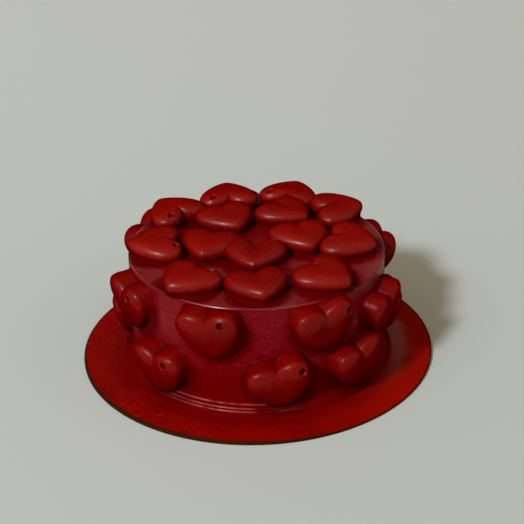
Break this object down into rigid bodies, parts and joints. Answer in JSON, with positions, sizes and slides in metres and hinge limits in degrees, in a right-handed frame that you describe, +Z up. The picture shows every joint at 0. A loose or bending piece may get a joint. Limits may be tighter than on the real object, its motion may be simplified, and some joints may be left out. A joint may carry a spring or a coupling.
{
  "type": "round model cake covered in hearts",
  "caption": "Round red model cake on a thin round board, with puffed hearts covering its top and standing in two staggered rows round its wall.",
  "frame": {"origin": "middle of the board's underside", "axes": "+Z up through the cake, -Y towards the side that the picture shows, +X to its right"},
  "size_m": [0.12, 0.12, 0.0453],
  "materials": {
    "heart_paint": "matte, faintly velvety deep red paint with fine grain, over a smooth puffed plastic heart",
    "drum_paint": "satin to glossy crimson paint, brushed and pooled, with a soft pinkish sheen at a low angle",
    "board_paint": "deep red paint on thin card board, matte at the outside and glossier near the drum, with a dark brown edge"
  },
  "bodies": {
    "root": {"board": "board_paint", "drum": "drum_paint", "top_heart_01": "heart_paint", "top_heart_02": "heart_paint", "top_heart_03": "heart_paint", "top_heart_04": "heart_paint", "top_heart_05": "heart_paint", "top_heart_06": "heart_paint", "top_heart_07": "heart_paint", "top_heart_08": "heart_paint", "top_heart_09": "heart_paint", "top_heart_10": "heart_paint", "top_heart_11": "heart_paint", "top_heart_12": "heart_paint", "top_heart_13": "heart_paint", "top_heart_14": "heart_paint", "wall_heart_01": "heart_paint", "wall_heart_02": "heart_paint", "wall_heart_03": "heart_paint", "wall_heart_04": "heart_paint", "wall_heart_05": "heart_paint", "wall_heart_06": "heart_paint", "wall_heart_07": "heart_paint", "wall_heart_08": "heart_paint", "wall_heart_09": "heart_paint", "wall_heart_10": "heart_paint", "wall_heart_11": "heart_paint", "wall_heart_12": "heart_paint", "wall_heart_13": "heart_paint", "wall_heart_14": "heart_paint"}
  },
  "joints": []
}
